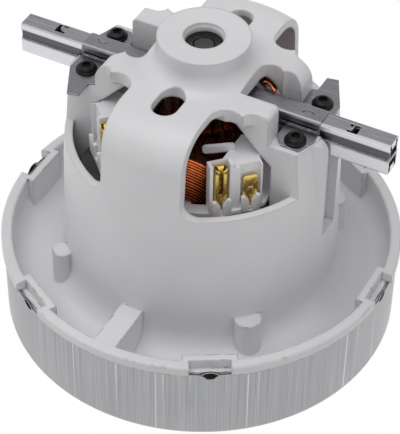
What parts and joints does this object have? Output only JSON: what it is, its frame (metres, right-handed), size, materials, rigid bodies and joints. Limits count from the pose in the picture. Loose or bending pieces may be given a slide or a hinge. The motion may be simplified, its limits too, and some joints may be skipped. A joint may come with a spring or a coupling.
{
  "type": "vacuum motor unit",
  "caption": "Universal motor in a white domed housing with a rimmed tray, side brush holders, open windows on the windings, and a metal fan shroud below.",
  "frame": {"origin": "on the motor axis, in the plane of the shroud's underside", "axes": "+Z along the motor axis from the fan shroud to the top boss, +X along one of the two opposite brush holders, +Y a quarter turn from it"},
  "size_m": [0.1346, 0.1352, 0.1115],
  "materials": {
    "white_plastic": "moulded, cool white, faintly glossy",
    "shroud_aluminium": "drawn sheet, brushed upwards",
    "fan_aluminium": "pressed sheet",
    "dark_plastic": "moulded, matt",
    "steel": "bright, brushed",
    "lamination_steel": "punched sheets, oxide grey",
    "enamelled_copper": "enamelled copper wire",
    "armature_copper": "varnished copper wire, dark",
    "commutator_copper": "turned copper",
    "contact_brass": "stamped brass",
    "black_steel": "blackened",
    "carbon": "pressed graphite",
    "bearing_steel": "ground",
    "cage_plastic": "moulded",
    "seal_rubber": "black"
  },
  "bodies": {
    "housing": {"motor_housing": "white_plastic", "fan_shroud": "shroud_aluminium", "diffuser": "dark_plastic", "diffuser_screws": "steel", "stator_stack": "lamination_steel", "upper_insulator": "white_plastic", "lower_insulator": "white_plastic", "field_core_front": "enamelled_copper", "field_core_back": "enamelled_copper", "field_wire_front": "enamelled_copper", "field_wire_back": "enamelled_copper", "winding_contacts": "contact_brass", "mains_tabs": "contact_brass", "brush_leads": "enamelled_copper", "brush_holder_right": "steel", "brush_holder_left": "steel", "brush_clip_right": "steel", "brush_clip_left": "steel", "clip_screws": "black_steel", "brush_spring_right": "steel", "brush_spring_left": "steel", "lower_bearing_outer": "bearing_steel", "lower_bearing_seals": "seal_rubber", "upper_bearing_outer": "bearing_steel", "upper_bearing_seals": "seal_rubber", "upper_bearing_damper": "seal_rubber"},
    "rotor": {"fan_back_disc": "fan_aluminium", "fan_front_disc": "fan_aluminium", "fan_blades": "fan_aluminium", "fan_spacer": "steel", "fan_washer": "steel", "fan_nut": "steel", "shaft": "steel", "armature_core": "lamination_steel", "armature_winding": "armature_copper", "commutator_bars": "commutator_copper", "commutator_hub": "dark_plastic", "lower_bearing_inner": "bearing_steel", "upper_bearing_inner": "bearing_steel"},
    "brush_right": {"carbon_right": "carbon"},
    "brush_left": {"carbon_left": "carbon"},
    "lower_cage": {"lower_bearing_balls": "bearing_steel", "lower_bearing_cage": "cage_plastic"},
    "upper_cage": {"upper_bearing_balls": "bearing_steel", "upper_bearing_cage": "cage_plastic"}
  },
  "joints": [
    {"name": "rotor_spin", "type": "hinge", "parent": "housing", "child": "rotor", "pos_m": [0, 0, 0.05], "axis": [0, 0, 1], "continuous": true},
    {"name": "brush_right_slide", "type": "slide", "parent": "housing", "child": "brush_right", "axis": [1, 0, 0], "range_m": [0, 0.009], "stiffness_N_per_m": 150, "springref_m": -0.02, "deforming": ["brush_spring_right"]},
    {"name": "brush_left_slide", "type": "slide", "parent": "housing", "child": "brush_left", "axis": [-1, 0, 0], "range_m": [0, 0.009], "stiffness_N_per_m": 150, "springref_m": -0.02, "deforming": ["brush_spring_left"]},
    {"name": "lower_cage_spin", "type": "hinge", "parent": "housing", "child": "lower_cage", "pos_m": [0, 0, 0.0175], "axis": [0, 0, 1], "continuous": true},
    {"name": "upper_cage_spin", "type": "hinge", "parent": "housing", "child": "upper_cage", "pos_m": [0, 0, 0.1053], "axis": [0, 0, 1], "continuous": true}
  ],
  "couplings": [
    {"joint": "lower_cage_spin", "follows": "rotor_spin", "ratio": 0.3693},
    {"joint": "upper_cage_spin", "follows": "rotor_spin", "ratio": 0.3708}
  ]
}
